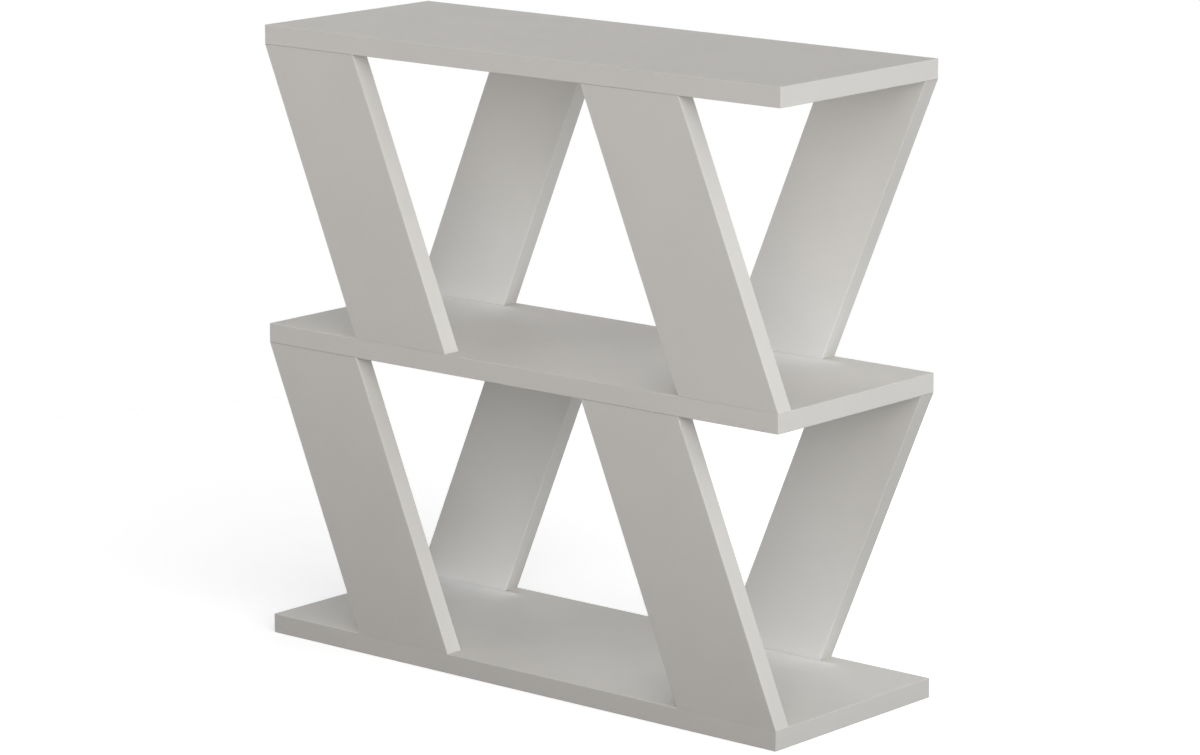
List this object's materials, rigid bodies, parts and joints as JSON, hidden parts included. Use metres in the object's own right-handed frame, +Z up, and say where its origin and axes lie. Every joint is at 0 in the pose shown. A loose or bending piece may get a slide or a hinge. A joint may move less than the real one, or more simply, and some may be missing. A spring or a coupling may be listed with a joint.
{
  "type": "shelving unit",
  "caption": "Open low shelving unit of level boards on slanted board uprights, leaning one way in front and the other behind.",
  "frame": {"origin": "on the floor under the middle of the unit", "axes": "+X along the shelves, to the right seen from the front; +Y from the front to the back; +Z up"},
  "size_m": [0.6, 0.22, 0.574],
  "materials": {
    "melamine_board": "smooth matte warm light grey melamine face and edge band",
    "zinc_cam": "bare die-cast zinc",
    "steel_bolt": "zinc-plated steel",
    "beech_dowel": "bare fluted beech"
  },
  "bodies": {
    "root": {"bottom_shelf": "melamine_board", "middle_shelf": "melamine_board", "top_shelf": "melamine_board", "lower_front_left_upright": "melamine_board", "lower_front_left_bottom_cam": "zinc_cam", "lower_front_left_bottom_bolt": "steel_bolt", "lower_front_left_bottom_dowel": "beech_dowel", "lower_front_left_top_cam": "zinc_cam", "lower_front_left_top_bolt": "steel_bolt", "lower_front_left_top_dowel": "beech_dowel", "lower_front_right_upright": "melamine_board", "lower_front_right_bottom_cam": "zinc_cam", "lower_front_right_bottom_bolt": "steel_bolt", "lower_front_right_bottom_dowel": "beech_dowel", "lower_front_right_top_cam": "zinc_cam", "lower_front_right_top_bolt": "steel_bolt", "lower_front_right_top_dowel": "beech_dowel", "lower_back_left_upright": "melamine_board", "lower_back_left_bottom_cam": "zinc_cam", "lower_back_left_bottom_bolt": "steel_bolt", "lower_back_left_bottom_dowel": "beech_dowel", "lower_back_left_top_cam": "zinc_cam", "lower_back_left_top_bolt": "steel_bolt", "lower_back_left_top_dowel": "beech_dowel", "lower_back_right_upright": "melamine_board", "lower_back_right_bottom_cam": "zinc_cam", "lower_back_right_bottom_bolt": "steel_bolt", "lower_back_right_bottom_dowel": "beech_dowel", "lower_back_right_top_cam": "zinc_cam", "lower_back_right_top_bolt": "steel_bolt", "lower_back_right_top_dowel": "beech_dowel", "upper_front_left_upright": "melamine_board", "upper_front_left_bottom_cam": "zinc_cam", "upper_front_left_bottom_bolt": "steel_bolt", "upper_front_left_bottom_dowel": "beech_dowel", "upper_front_left_top_cam": "zinc_cam", "upper_front_left_top_bolt": "steel_bolt", "upper_front_left_top_dowel": "beech_dowel", "upper_front_right_upright": "melamine_board", "upper_front_right_bottom_cam": "zinc_cam", "upper_front_right_bottom_bolt": "steel_bolt", "upper_front_right_bottom_dowel": "beech_dowel", "upper_front_right_top_cam": "zinc_cam", "upper_front_right_top_bolt": "steel_bolt", "upper_front_right_top_dowel": "beech_dowel", "upper_back_left_upright": "melamine_board", "upper_back_left_bottom_cam": "zinc_cam", "upper_back_left_bottom_bolt": "steel_bolt", "upper_back_left_bottom_dowel": "beech_dowel", "upper_back_left_top_cam": "zinc_cam", "upper_back_left_top_bolt": "steel_bolt", "upper_back_left_top_dowel": "beech_dowel", "upper_back_right_upright": "melamine_board", "upper_back_right_bottom_cam": "zinc_cam", "upper_back_right_bottom_bolt": "steel_bolt", "upper_back_right_bottom_dowel": "beech_dowel", "upper_back_right_top_cam": "zinc_cam", "upper_back_right_top_bolt": "steel_bolt", "upper_back_right_top_dowel": "beech_dowel"}
  },
  "joints": []
}
